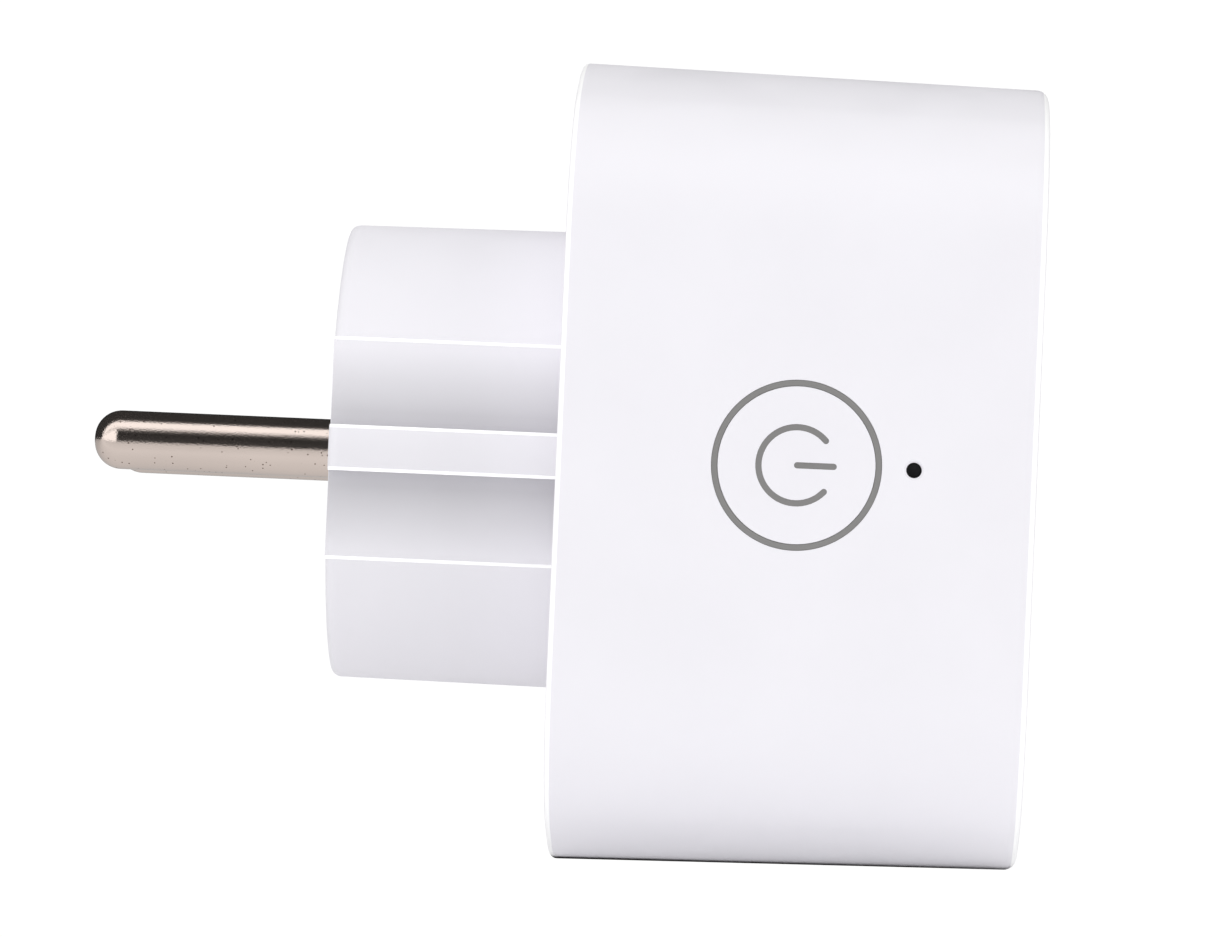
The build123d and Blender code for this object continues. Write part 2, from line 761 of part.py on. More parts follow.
led_height = 0.7
with BuildPart() as status_leds:
    with BuildSketch(side_level(board_level - led_height)):
        with PolarLocations(ring_flange_radius - 0.5, 4, start_angle=45):
            Rectangle(0.8, 1.6)
    extrude(amount=-led_height)
status_leds.part.label = "status_leds"
export_step(status_leds.part, "parts/status_leds.step")

header_height = 2.4
with BuildPart() as header_block:
    with BuildSketch(level(board_front)):
        with Locations((-header_x, 0)):
            Rectangle(2.2, 10.2)
        with Locations(*header_pins_at):
            Rectangle(header_pin, header_pin, mode=Mode.SUBTRACT)
    extrude(amount=header_height)
header_block.part.label = "header_block"
export_step(header_block.part, "parts/header_block.step")

with BuildPart() as header_pins:
    with BuildSketch(level(board_back - 0.5)):
        with Locations(*header_pins_at):
            Rectangle(header_pin, header_pin)
    extrude(amount=board_front - board_back + 0.5 + header_height + 2.0)
header_pins.part.label = "header_pins"
export_step(header_pins.part, "parts/header_pins.step")

# ================================================================ radio
# The radio module stands on the main board below the cup: a small board with a
# metal can over its chip and a printed zigzag aerial at its far end.
radio_width = 16.0
radio_length = 16.5
radio_board_thickness = 0.8
radio_gap = 1.5
radio_top = -cup_radius - radio_gap
can_height = 2.2
aerial_pitch = 1.6
aerial_reach = 5.0

with BuildPart() as radio_board:
    with BuildSketch(level(board_front)):
        with Locations((0, radio_top)):
            Rectangle(radio_width, radio_board_thickness, align=(Align.CENTER, Align.MAX))
    extrude(amount=radio_length)
radio_board.part.label = "radio_board"
export_step(radio_board.part, "parts/radio_board.step")

with BuildPart() as radio_can:
    with BuildSketch(level(board_front + 1.2)):
        with Locations((0, radio_top - radio_board_thickness)):
            Rectangle(radio_width - 3, can_height, align=(Align.CENTER, Align.MAX))
    extrude(amount=radio_length - 8.2)
    fillet(radio_can.faces().sort_by(Axis.Z)[0].edges(), radius=0.4)
radio_can.part.label = "radio_can"
export_step(radio_can.part, "parts/radio_can.step")

with BuildPart() as radio_aerial:
    with BuildSketch(Plane.XY.offset(radio_top - radio_board_thickness)):
        start_y = -(board_front + radio_length - 0.9 - aerial_reach)
        with BuildLine():
            turns = [(-4.5 * aerial_pitch, start_y)]
            for turn in range(8):
                x = (turn - 4) * aerial_pitch + aerial_pitch / 2
                near = turn % 2 == 0
                turns.append((x - aerial_pitch, start_y - (0 if near else aerial_reach)))
                turns.append((x, start_y - (0 if near else aerial_reach)))
            Polyline(turns[1:])
        trace(line_width=0.5)
    extrude(amount=-0.08)
radio_aerial.part.label = "radio_aerial"
export_step(radio_aerial.part, "parts/radio_aerial.step")

# ================================================================ relay
# The relay switches the socket. It lies above the cup: a base, a thin case, a
# coil on its core, a yoke, and an armature that tips and lifts the contact arm.
relay_width = 20.5
relay_thickness = 7.2
relay_height = 15.3
relay_wall = 0.6
relay_base_height = 1.2
relay_z = cup_radius + 1.5 + relay_thickness / 2
relay_floor = board_front + relay_base_height
armature_depth = board_front + relay_height - 3.2
armature_thickness = 0.8
armature_gap = 0.5
coil_x = -4.5
relay_coil_radius = 2.7
core_radius = 1.1
yoke_x = 0.6
yoke_width = 5.0

with BuildPart() as relay_base:
    with BuildSketch(level(board_front)):
        with Locations((0, relay_z)):
            Rectangle(relay_width, relay_thickness)
    extrude(amount=relay_base_height)
relay_base.part.label = "relay_base"
export_step(relay_base.part, "parts/relay_base.step")

with BuildPart() as relay_case:
    with BuildSketch(level(relay_floor)):
        with Locations((0, relay_z)):
            Rectangle(relay_width, relay_thickness)
    extrude(amount=relay_height - relay_base_height)
    fillet(relay_case.faces().sort_by(Axis.Y)[0].edges(), radius=0.5)
    with BuildSketch(level(relay_floor)):
        with Locations((0, relay_z)):
            Rectangle(relay_width - 2 * relay_wall, relay_thickness - 2 * relay_wall)
    extrude(amount=relay_height - relay_base_height - relay_wall, mode=Mode.SUBTRACT)
relay_case.part.label = "relay_case"
export_step(relay_case.part, "parts/relay_case.step")

yoke_foot = 0.6
coil_end = armature_depth - armature_gap - 0.6
with BuildPart() as relay_coil:
    with BuildSketch(level(relay_floor + yoke_foot + 0.1)):
        with Locations((coil_x, relay_z)):
            Circle(relay_coil_radius)
            Circle(core_radius + 0.05, mode=Mode.SUBTRACT)
    extrude(amount=coil_end - relay_floor - yoke_foot - 0.1)
relay_coil.part.label = "relay_coil"
export_step(relay_coil.part, "parts/relay_coil.step")

with BuildPart() as relay_core:
    with BuildSketch(level(relay_floor + yoke_foot)):
        with Locations((coil_x, relay_z)):
            Circle(core_radius)
    extrude(amount=armature_depth - armature_gap - relay_floor - yoke_foot)
relay_core.part.label = "relay_core"
export_step(relay_core.part, "parts/relay_core.step")

with BuildPart() as relay_yoke:
    with BuildSketch(level(relay_floor)):
        with Locations((coil_x - relay_coil_radius, relay_z)):
            Rectangle(yoke_x - coil_x + relay_coil_radius, yoke_width, align=(Align.MIN, Align.CENTER))
    extrude(amount=yoke_foot)
    with BuildSketch(level(relay_floor)):
        with Locations((yoke_x, relay_z)):
            Rectangle(1.0, yoke_width, align=(Align.MAX, Align.CENTER))
    extrude(amount=armature_depth - 0.12 - relay_floor)
relay_yoke.part.label = "relay_yoke"
export_step(relay_yoke.part, "parts/relay_yoke.step")

armature_reach = coil_x - relay_coil_radius
with BuildPart() as relay_armature:
    with BuildSketch(level(armature_depth)):
        with Locations((armature_reach, relay_z)):
            Rectangle(yoke_x - armature_reach, yoke_width - 0.4, align=(Align.MIN, Align.CENTER))
    extrude(amount=armature_thickness)
    with BuildSketch(level(armature_depth + armature_thickness / 2)):
        with Locations((yoke_x - 1, relay_z)):
            Rectangle(7.4, 2.4, align=(Align.MIN, Align.CENTER))
    extrude(amount=0.3)
    with BuildSketch(level(armature_depth + armature_thickness / 2)):
        with Locations((yoke_x + 5.3, relay_z)):
            Circle(0.9)
    extrude(amount=0.7)
relay_armature.part.label = "relay_armature"
export_step(relay_armature.part, "parts/relay_armature.step")

fixed_depth = armature_depth + armature_thickness / 2 + 1.15
with BuildPart() as relay_contact:
    with BuildSketch(level(fixed_depth)):
        with Locations((yoke_x + 4.4, relay_z)):
            Rectangle(4.6, 2.4, align=(Align.MIN, Align.CENTER))
    extrude(amount=0.35)
    with BuildSketch(level(relay_floor)):
        with Locations((yoke_x + 8.4, relay_z)):
            Rectangle(0.6, 2.4, align=(Align.MIN, Align.CENTER))
    extrude(amount=fixed_depth + 0.35 - relay_floor)
relay_contact.part.label = "relay_contact"
export_step(relay_contact.part, "parts/relay_contact.step")

# ================================================================ power supply
# A capacitor-fed supply stands around the contact carrier on the main board.
part_height = 10.5
supply_z = carrier_height / 2 + 2.0

with BuildPart() as suppression_capacitor:
    with BuildSketch(level(board_front)):
        with Locations((-2.2, supply_z + 2.4)):
            Rectangle(12.5, 6.0, align=(Align.MAX, Align.MIN))
    extrude(amount=part_height)
    fillet(suppression_capacitor.edges().filter_by(Axis.Y), radius=0.5)
suppression_capacitor.part.label = "suppression_capacitor"
export_step(suppression_capacitor.part, "parts/suppression_capacitor.step")

with BuildPart() as varistor:
    with BuildSketch(Plane.XZ.offset(board_front)):
        with Locations((3.8, supply_z + 2.0), (8.8, supply_z + 2.0)):
            Circle(0.3)
    extrude(amount=3.2)
    with BuildSketch(Plane.XY.offset(supply_z + 0.6)):
        with Locations((6.3, -(board_front + 1.6 + 4.2))):
            Circle(4.2)
    extrude(amount=2.8)
    fillet(varistor.edges().filter_by(GeomType.CIRCLE).group_by(SortBy.RADIUS)[-1], radius=0.8)
varistor.part.label = "varistor"
export_step(varistor.part, "parts/varistor.step")

with BuildPart() as fuse_resistor:
    with BuildSketch(Plane.YZ.offset(2.2)):
        with Locations((-(board_front + 1.9), supply_z + 7.0)):
            Circle(1.7)
    extrude(amount=8.4)
    fillet(fuse_resistor.edges(), radius=0.5)
fuse_resistor.part.label = "fuse_resistor"
export_step(fuse_resistor.part, "parts/fuse_resistor.step")

for capacitor_name, x, up in (("smoothing_capacitor_a", 17.6, 1), ("smoothing_capacitor_b", 12.6, -1)):
    with BuildPart() as smoothing_capacitor:
        with BuildSketch(level(board_front + 0.2)):
            with Locations((x, up * (supply_z + 3.4))):
                Circle(3.15)
        extrude(amount=part_height)
        fillet(smoothing_capacitor.edges().filter_by(GeomType.CIRCLE), radius=0.4)
    smoothing_capacitor.part.label = capacitor_name
    export_step(smoothing_capacitor.part, f"parts/{capacitor_name}.step")

choke_x = -12.0
choke_z = -supply_z - 4.2
with BuildPart() as choke_core:
    with BuildSketch(level(board_front + 0.2)):
        with Locations((choke_x, choke_z)):
            Circle(4.0)
    extrude(amount=1.2)
    with BuildSketch(level(board_front + 0.2)):
        with Locations((choke_x, choke_z)):
            Circle(1.8)
    extrude(amount=9.0)
    with BuildSketch(level(board_front + 8.0)):
        with Locations((choke_x, choke_z)):
            Circle(4.0)
    extrude(amount=1.2)
choke_core.part.label = "choke_core"
export_step(choke_core.part, "parts/choke_core.step")

with BuildPart() as choke_winding:
    with BuildSketch(level(board_front + 1.5)):
        with Locations((choke_x, choke_z)):
            Circle(3.6)
            Circle(1.85, mode=Mode.SUBTRACT)
    extrude(amount=6.4)
choke_winding.part.label = "choke_winding"
export_step(choke_winding.part, "parts/choke_winding.step")


def chip(x, z, width, height, thickness):
    """A moulded chip with a row of legs on each side, lying on the main board."""
    with BuildPart() as moulding:
        with BuildSketch(level(board_front + 0.15)):
            with Locations((x, z)):
                Rectangle(width, height)
        extrude(amount=thickness)
        with BuildSketch(level(board_front)):
            for side in (1, -1):
                with Locations((x, z + side * (height / 2 + 0.4))):
                    with GridLocations(1.27, 1, int(width / 1.27), 1):
                        Rectangle(0.4, 1.2)
        extrude(amount=0.4)
    return moulding


power_chip = chip(-1.6, -supply_z - 2.4, 5.0, 4.0, 1.5)
power_chip.part.label = "power_chip"
export_step(power_chip.part, "parts/power_chip.step")

metering_chip = chip(4.6, -supply_z - 2.4, 5.0, 4.0, 1.5)
metering_chip.part.label = "metering_chip"
export_step(metering_chip.part, "parts/metering_chip.step")

bridge_rectifier = chip(-18.6, supply_z + 2.0, 4.0, 5.0, 2.4)
bridge_rectifier.part.label = "bridge_rectifier"
export_step(bridge_rectifier.part, "parts/bridge_rectifier.step")
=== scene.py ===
# %% [markdown]
# # A smart plug, dressed for its portrait
#
# A smart plug goes between a wall socket and an appliance. Its back is a plug:
# a round insert with two nickel pins. Its front is a socket. The white body in
# between holds the electronics, with one flush power button on its left side.
# The exact design comes in as a frame of finished parts. This lesson gives them
# smooth moulded surfaces, real finishes, a studio and a camera.

# %% Load the frame
import json
import math
import bmesh
import bpy
from mathutils import Matrix, Vector


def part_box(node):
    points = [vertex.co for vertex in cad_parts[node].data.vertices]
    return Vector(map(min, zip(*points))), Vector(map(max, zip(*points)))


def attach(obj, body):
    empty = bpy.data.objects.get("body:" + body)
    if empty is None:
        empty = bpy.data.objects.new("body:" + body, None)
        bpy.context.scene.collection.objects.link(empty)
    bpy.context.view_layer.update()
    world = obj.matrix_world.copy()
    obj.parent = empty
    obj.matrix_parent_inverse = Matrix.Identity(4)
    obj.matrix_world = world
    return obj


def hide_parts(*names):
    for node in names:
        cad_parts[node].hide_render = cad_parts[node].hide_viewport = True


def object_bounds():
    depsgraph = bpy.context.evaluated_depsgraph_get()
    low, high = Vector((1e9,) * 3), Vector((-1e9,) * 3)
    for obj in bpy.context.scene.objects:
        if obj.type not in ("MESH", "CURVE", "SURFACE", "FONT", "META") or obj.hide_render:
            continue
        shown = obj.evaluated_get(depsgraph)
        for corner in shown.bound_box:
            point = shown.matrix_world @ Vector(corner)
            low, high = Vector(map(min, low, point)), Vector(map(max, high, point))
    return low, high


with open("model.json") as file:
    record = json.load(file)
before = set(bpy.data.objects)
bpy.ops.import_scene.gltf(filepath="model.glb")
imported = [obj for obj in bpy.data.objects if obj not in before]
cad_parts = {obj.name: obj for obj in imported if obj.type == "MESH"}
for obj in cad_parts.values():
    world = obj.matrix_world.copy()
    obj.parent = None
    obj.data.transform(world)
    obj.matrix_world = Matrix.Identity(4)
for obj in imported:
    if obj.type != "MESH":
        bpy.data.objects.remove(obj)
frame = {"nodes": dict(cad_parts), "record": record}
cad_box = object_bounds()
nodes = frame["nodes"]
MM = 0.001

# %% [markdown]
# The camera stands well off to the left of the plug with a long lens, as for a
# catalogue page, so near and far edges keep almost the same size. It stands
# a little in front of the plug and a little below its middle, and it is rolled
# by a few degrees, so the plug leans gently to the right.

# %% Camera
CAMERA_DISTANCE = 0.650
CAMERA_LENS = 233.0
CAMERA_ROLL = math.radians(2.5)
camera_place = Vector((-CAMERA_DISTANCE, -44.9 * MM, -10.8 * MM))
camera_target = Vector((0, -21.9 * MM, -0.5 * MM))

forward = (camera_target - camera_place).normalized()
lean_up = Vector((0, math.sin(CAMERA_ROLL), math.cos(CAMERA_ROLL)))
right = forward.cross(lean_up).normalized()
up = right.cross(forward)

camera_data = bpy.data.cameras.new("portrait_camera")
camera_data.lens = CAMERA_LENS
camera_data.sensor_width = 36.0
camera_data.clip_end = 50.0
camera = bpy.data.objects.new("portrait_camera", camera_data)
bpy.context.scene.collection.objects.link(camera)
turn = Matrix((right, up, -forward)).transposed().to_4x4()
camera.matrix_world = Matrix.Translation(camera_place) @ turn
bpy.context.scene.camera = camera
bpy.context.scene.view_settings.view_transform = "Standard"
print("camera looks along", [round(c, 3) for c in forward])

# %% [markdown]
# Finishes and the sky are node trees. Building them by hand in the editor is
# pleasant, but here a tree is written as short lines, so a few helpers do what
# the mouse would: add a node, join two sockets, and mix, fade or ramp a value.

# %% Helpers for node trees
def new_tree(owner):
    """The cleared node tree of a material or a world."""
    owner.use_nodes = True
    tree = owner.node_tree
    tree.nodes.clear()
    return tree


def add_node(tree, kind, **settings):
    """One new node, with its settings."""
    node = tree.nodes.new(kind)
    for key, value in settings.items():
        setattr(node, key, value)
    return node


def join(tree, start, end):
    """A link from one socket to another."""
    tree.links.new(start, end)


def feed(tree, value, socket):
    """Gives an input its value, which is another socket or a plain number or colour."""
    if isinstance(value, bpy.types.NodeSocket):
        join(tree, value, socket)
    else:
        socket.default_value = value


def maths(tree, operation, *values):
    """A Math node on sockets or numbers; gives its output."""
    node = add_node(tree, "ShaderNodeMath", operation=operation)
    for index, value in enumerate(values):
        feed(tree, value, node.inputs[index])
    return node.outputs[0]


def mixed(tree, factor, first, second, blend="MIX"):
    """A Mix node on two colours; gives its output."""
    node = add_node(tree, "ShaderNodeMix", data_type="RGBA", blend_type=blend)
    for index, value in ((0, factor), (6, first), (7, second)):
        feed(tree, value, node.inputs[index])
    return node.outputs[2]


def fade(tree, value, start, end, low=0.0, high=1.0):
    """A smooth step: low before start, high after end."""
    node = add_node(tree, "ShaderNodeMapRange", interpolation_type="SMOOTHSTEP")
    join(tree, value, node.inputs["Value"])
    for name, level in (("From Min", start), ("From Max", end), ("To Min", low), ("To Max", high)):
        node.inputs[name].default_value = level
    return node.outputs[0]


def ramp(tree, factor, stops):
    """A Color Ramp through stops of (place, grey level or colour); gives its output."""
    node = add_node(tree, "ShaderNodeValToRGB")
    elements = node.color_ramp.elements
    while len(elements) < len(stops):
        elements.new(0.5)
    for element, (place, colour) in zip(elements, stops):
        element.position = place
        element.color = (*colour, 1) if isinstance(colour, tuple) else (colour, colour, colour, 1)
    join(tree, factor, node.inputs["Fac"])
    return node.outputs["Color"]


def split_axes(tree, coordinates):
    """X, Y and Z of a kind of coordinates: Object on a piece, Generated in the sky."""
    node = add_node(tree, "ShaderNodeSeparateXYZ")
    join(tree, add_node(tree, "ShaderNodeTexCoord").outputs[coordinates], node.inputs[0])
    return node.outputs


def show(tree, shader, output="ShaderNodeOutputMaterial"):
    """Joins a shader to the tree's output."""
    join(tree, shader.outputs[0], add_node(tree, output).inputs[0])


print("node helpers ready")

# %% [markdown]
# A white plug on white paper needs a careful studio. A row of lamps could do it,
# but a sky built from ramps is easier to tune. They run round the pins' axis:
# from the side away from the camera, underneath, up past the camera's side and
# over the top to the far side again. Matt surfaces are lit by a smooth ramp,
# brightest overhead. Shiny ones see clear bands instead, a long softbox between
# two dark flags, since nickel needs dark things to reflect. An end lamp past the
# pins' tips fills the lower flag there, which gives each rounded tip its
# highlight.

# %% Sky
SKY_STRENGTH = 1.3
MATT_LIGHT = 1.10
PAPER_WHITE = (0.8, 0.8, 0.8, 1)
END_LAMP = (0.88, 0.88, 0.88, 1)
END_LAMP_FROM, END_LAMP_TO = 0.27, 0.34
# Stops are (degrees round the pins' axis, brightness).
matt_sky = [
    (-180, 0.86), (-100, 0.86), (-40, 0.93), (-5, 0.96), (25, 1.0),
    (62, 1.12), (110, 1.12), (150, 0.9), (180, 0.70),
]
glossy_sky = [
    (-180, 0.42), (-130, 0.60), (-99, 0.66), (-70, 0.70), (-43, 0.75), (-15, 0.66), (-9, 0.50), (-5, 0.05),
    (26, 0.02), (36, 0.10), (45, 0.62), (52, 1.12), (73, 1.1), (81, 0.10), (90, 0.03), (180, 0.03),
]
end_lamp_sky = [(-12, 0.0), (-6, 1.0), (36, 1.0), (45, 0.0)]

world = bpy.data.worlds.new("studio")
bpy.context.scene.world = world
tree = new_tree(world)
axes = split_axes(tree, "Generated")
angle = maths(tree, "ARCTAN2", axes["Z"], maths(tree, "MULTIPLY", axes["X"], -1))
turn_share = maths(tree, "ADD", maths(tree, "DIVIDE", angle, 2 * math.pi), 0.5)


def sky_ramp(stops, scale=1.0):
    """A ramp of the sky round the pins' axis."""
    return ramp(tree, turn_share, [((degrees + 180) / 360, level * scale) for degrees, level in stops])


matt = sky_ramp(matt_sky, MATT_LIGHT / SKY_STRENGTH)
bands = sky_ramp(glossy_sky, 1 / SKY_STRENGTH)
past_tips = fade(tree, axes["Y"], END_LAMP_FROM, END_LAMP_TO)
glossy = mixed(tree, maths(tree, "MULTIPLY", past_tips, sky_ramp(end_lamp_sky)), bands, END_LAMP)
rays = add_node(tree, "ShaderNodeLightPath").outputs
lamps = mixed(tree, rays["Is Glossy Ray"], matt, glossy)
sky = add_node(tree, "ShaderNodeBackground")
sky.inputs["Strength"].default_value = SKY_STRENGTH
join(tree, mixed(tree, rays["Is Camera Ray"], lamps, PAPER_WHITE), sky.inputs["Color"])
show(tree, sky, "ShaderNodeOutputWorld")
print("sky with", len(matt_sky), "matt and", len(glossy_sky), "glossy stops")

# %% [markdown]
# The floor is a pale light table just under the plug. Seen directly it is pure
# white, so it melts into the backdrop with no shadow. To the plug it is a dim
# grey sheet, which darkens the lowest edge of the body. A narrow black sheet
# that the camera can't see is painted shadow: it deepens the line where the
# body nearly touches.

# %% Floor
FLOOR_SIZE = 3.0
FLOOR_GAP = 0.5 * MM
TABLE_GLOW = 0.36
# Size and place of the black sheet that paints a shadow under the body.
SHADOW_SHEET_WIDTH, SHADOW_SHEET_LENGTH = 11 * MM, 39 * MM
SHADOW_SHEET_MIDDLE = -37.8 * MM
SHADOW_SHEET_GAP = 0.1 * MM
lowest = cad_box[0][2]


def stage_sheet(name, width, length, place, material):
    """A flat sheet of the studio, which isn't part of the plug."""
    sheet = bmesh.new()
    bmesh.ops.create_grid(sheet, x_segments=1, y_segments=1, size=0.5)
    bmesh.ops.scale(sheet, verts=sheet.verts, vec=(width, length, 1))
    bmesh.ops.translate(sheet, verts=sheet.verts, vec=place)
    mesh = bpy.data.meshes.new(name)
    sheet.to_mesh(mesh)
    sheet.free()
    mesh.materials.append(material)
    thing = bpy.data.objects.new(name, mesh)
    bpy.context.scene.collection.objects.link(thing)
    return thing


table_white = bpy.data.materials.new("table_white")
tree = new_tree(table_white)
glow = add_node(tree, "ShaderNodeEmission")
glow.inputs["Strength"].default_value = PAPER_WHITE[0] * SKY_STRENGTH
paper = add_node(tree, "ShaderNodeBsdfPrincipled")
paper.inputs["Base Color"].default_value = (0.7, 0.7, 0.71, 1)
paper.inputs["Roughness"].default_value = 1.0
paper.inputs["Emission Color"].default_value = (1, 1, 1, 1)
paper.inputs["Emission Strength"].default_value = TABLE_GLOW
choose = add_node(tree, "ShaderNodeMixShader")
join(tree, add_node(tree, "ShaderNodeLightPath").outputs["Is Camera Ray"], choose.inputs[0])
join(tree, paper.outputs[0], choose.inputs[1])
join(tree, glow.outputs[0], choose.inputs[2])
show(tree, choose)
floor = stage_sheet("light_table", FLOOR_SIZE, FLOOR_SIZE, (0, 0, lowest - FLOOR_GAP), table_white)
floor.visible_glossy = False

# Painted shadow: a black sheet under the body's lowest line, hidden from the camera.
shadow_sheet_black = bpy.data.materials.new("shadow_sheet")
tree = new_tree(shadow_sheet_black)
shadow_sheet_surface = add_node(tree, "ShaderNodeBsdfDiffuse")
shadow_sheet_surface.inputs["Color"].default_value = (0.01, 0.01, 0.01, 1)
show(tree, shadow_sheet_surface)
shadow_sheet = stage_sheet("painted_shadow_sheet", SHADOW_SHEET_WIDTH, SHADOW_SHEET_LENGTH, (0, SHADOW_SHEET_MIDDLE, lowest - SHADOW_SHEET_GAP), shadow_sheet_black)
shadow_sheet.visible_camera = False
print("floor at", round(lowest - FLOOR_GAP, 4))

# %% [markdown]
# Every finish starts from the same recipe: a Principled shader, a colour that
# drifts a little across the piece, a roughness that drifts with it, and a fine
# bump at the real scale of the surface. Patterns read Object coordinates, which
# are metres here, so a noise scale of 4000 has features of about 0.25 mm.

# %% A finish recipe
CLOUD_SCALE = 120


def object_place(tree):
    """The Object coordinates, in metres."""
    return add_node(tree, "ShaderNodeTexCoord").outputs["Object"]


def noise(tree, place, scale, detail=2):
    """A Noise texture; gives its level."""
    node = add_node(tree, "ShaderNodeTexNoise")
    node.inputs["Scale"].default_value = scale
    node.inputs["Detail"].default_value = detail
    join(tree, place, node.inputs["Vector"])
    return node.outputs["Fac"]


def finish(name, colour, roughness, drift=0.02, grain=4000, grain_depth=0.004, metal=0.0, **extra):
    """A material from the recipe, with grain_depth in mm; gives it, its tree and its shader."""
    material = bpy.data.materials.new(name)
    tree = new_tree(material)
    shader = add_node(tree, "ShaderNodeBsdfPrincipled")
    shader.inputs["Metallic"].default_value = metal
    for socket, value in extra.items():
        shader.inputs[socket.replace("_", " ")].default_value = value
    place = object_place(tree)
    cloud = noise(tree, place, CLOUD_SCALE, 3)
    dark = tuple(c * (1 - drift) for c in colour)
    light = tuple(min(1, c * (1 + drift)) for c in colour)
    join(tree, ramp(tree, cloud, [(0.3, dark), (0.7, light)]), shader.inputs["Base Color"])
    shine = ramp(tree, cloud, [(0.3, max(0.02, roughness * 0.88)), (0.7, roughness * 1.1)])
    join(tree, shine, shader.inputs["Roughness"])
    bump = add_node(tree, "ShaderNodeBump")
    bump.inputs["Distance"].default_value = grain_depth * MM
    bump.inputs["Strength"].default_value = 1.0
    join(tree, noise(tree, place, grain), bump.inputs["Height"])
    join(tree, bump.outputs["Normal"], shader.inputs["Normal"])
    show(tree, shader)
    return material, tree, shader


def source(shader, name):
    """The socket that feeds a shader's input now."""
    return shader.inputs[name].links[0].from_socket


print("finish recipe ready")

# %% [markdown]
# The housing is one white plastic, satin and very finely textured. Where two
# faces of the moulding meet there is a small real radius, and a crisp white
# line along it is a painted highlight. On the body a mask picks the two rims by
# their depth and paints them white. On the insert such edges have faces of
# their own, so they get a painted highlight material of their own, which also
# glows a little.

# %% White housing
HOUSING = (0.812, 0.800, 0.838)
# Painted highlight colour of the body's rims and the insert's edge strips.
HIGHLIGHT_WHITE = (0.99, 0.99, 0.99)
FINE_GRAIN = {"drift": 0.006, "grain": 5000, "grain_depth": 0.0012}
front_y, rear_y = (corner.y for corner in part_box("front_shell"))


def band(tree, value, low, high, blur=0.03 * MM):
    """1 where value lies between low and high, with slightly soft edges."""
    rise = fade(tree, value, low - blur, low + blur)
    return maths(tree, "MULTIPLY", rise, fade(tree, value, high - blur, high + blur, 1, 0))


shell_white, tree, shader = finish("shell_white", HOUSING, 0.42, **FINE_GRAIN)
depth = split_axes(tree, "Object")["Y"]
# Painted highlight: both rims of the body are painted almost pure white.
rear_rim_highlight = band(tree, depth, rear_y - 0.42 * MM, rear_y - 0.05 * MM)
front_rim_highlight = band(tree, depth, front_y + 0.05 * MM, front_y + 0.45 * MM)
rim_highlights = maths(tree, "MAXIMUM", rear_rim_highlight, front_rim_highlight)
rim_highlighted = mixed(tree, rim_highlights, source(shader, "Base Color"), (*HIGHLIGHT_WHITE, 1))
join(tree, rim_highlighted, shader.inputs["Base Color"])
# Painted highlight: the insert's edge strips are nearly pure white and glow slightly.
painted_highlight_strip = finish(
    "painted_highlight_strip", HIGHLIGHT_WHITE, 0.35, drift=0.004, grain=5000, grain_depth=0.0008,
    Emission_Color=(1, 1, 1, 1), Emission_Strength=0.14,
)[0]
button_white = finish("button_white", HOUSING, 0.38, **FINE_GRAIN)[0]
cup_white = finish("cup_white", HOUSING, 0.5, drift=0.01, grain=3000, grain_depth=0.002)[0]
print("housing finishes:", shell_white.name, painted_highlight_strip.name, button_white.name, cup_white.name)

# %% [markdown]
# The flats beside the insert's ribs lie in a groove that little light gets
# into. The soft sky alone leaves them too bright, so shade is painted into the
# finish there, darkest near the rib. The finish also has painted light towards
# the insert's root and painted shade on the lower half, both by less than a tenth.

# %% Insert finish
insert_white, tree, shader = finish("insert_white", HOUSING, 0.46, **FINE_GRAIN)
axes = split_axes(tree, "Object")
flats = band(tree, maths(tree, "ABSOLUTE", axes["X"]), 15 * MM, 16.7 * MM)
outside = band(tree, axes["Y"], rear_y + 0.1 * MM, -0.035 * MM)
height = maths(tree, "DIVIDE", maths(tree, "ABSOLUTE", axes["Z"]), 10 * MM)
# Painted shade in the grooves, darkest near the rib.
groove_painted_shade = ramp(tree, height, [(0.18, 0.77), (0.30, 0.73), (0.55, 0.85), (0.82, 1.0)])
groove_shade_colour = mixed(tree, maths(tree, "MULTIPLY", flats, outside), (1, 1, 1, 1), groove_painted_shade)
# Painted light towards the root and painted shade on the lower half.
root_painted_light = fade(tree, axes["Y"], rear_y, rear_y + 9 * MM, 1.09, 1.0)
low_half_painted_shade = fade(tree, axes["Z"], -2 * MM, 4 * MM, 0.92, 1.0)
shaded_colour = mixed(tree, 1, source(shader, "Base Color"), groove_shade_colour, "MULTIPLY")
shaded_colour = mixed(tree, 1, shaded_colour, maths(tree, "MULTIPLY", root_painted_light, low_half_painted_shade), "MULTIPLY")
join(tree, shaded_colour, shader.inputs["Base Color"])
print("insert finish:", insert_white.name)

# %% [markdown]
# The pins are bright nickel over brass. Up close the plating is pitted and has
# faint lines along the pin from being drawn. The pits are the middles of some
# cells of a Voronoi texture; the lines are a noise stretched along the pin.

# %% Pin finish
PIN_NICKEL = (0.86, 0.74, 0.675)
PIT_BROWN = (0.16, 0.10, 0.075, 1)
PIT_CELLS = 2300
PIT_SIZE = 0.15
PITLESS_SHARE = 0.4
LINE_SCALE = (6000, 90, 6000)
LINE_DEPTH = 0.0004 * MM
pin_nickel, tree, shader = finish(
    "pin_nickel", PIN_NICKEL, 0.11, drift=0.03, grain=7000, grain_depth=0.012, metal=1.0
)
place = object_place(tree)
cells = add_node(tree, "ShaderNodeTexVoronoi")
cells.inputs["Scale"].default_value = PIT_CELLS
join(tree, place, cells.inputs["Vector"])
lot = add_node(tree, "ShaderNodeSeparateColor")
join(tree, cells.outputs["Color"], lot.inputs[0])
near = maths(tree, "LESS_THAN", cells.outputs["Distance"], PIT_SIZE)
pits = maths(tree, "MULTIPLY", near, maths(tree, "GREATER_THAN", lot.outputs[0], PITLESS_SHARE))
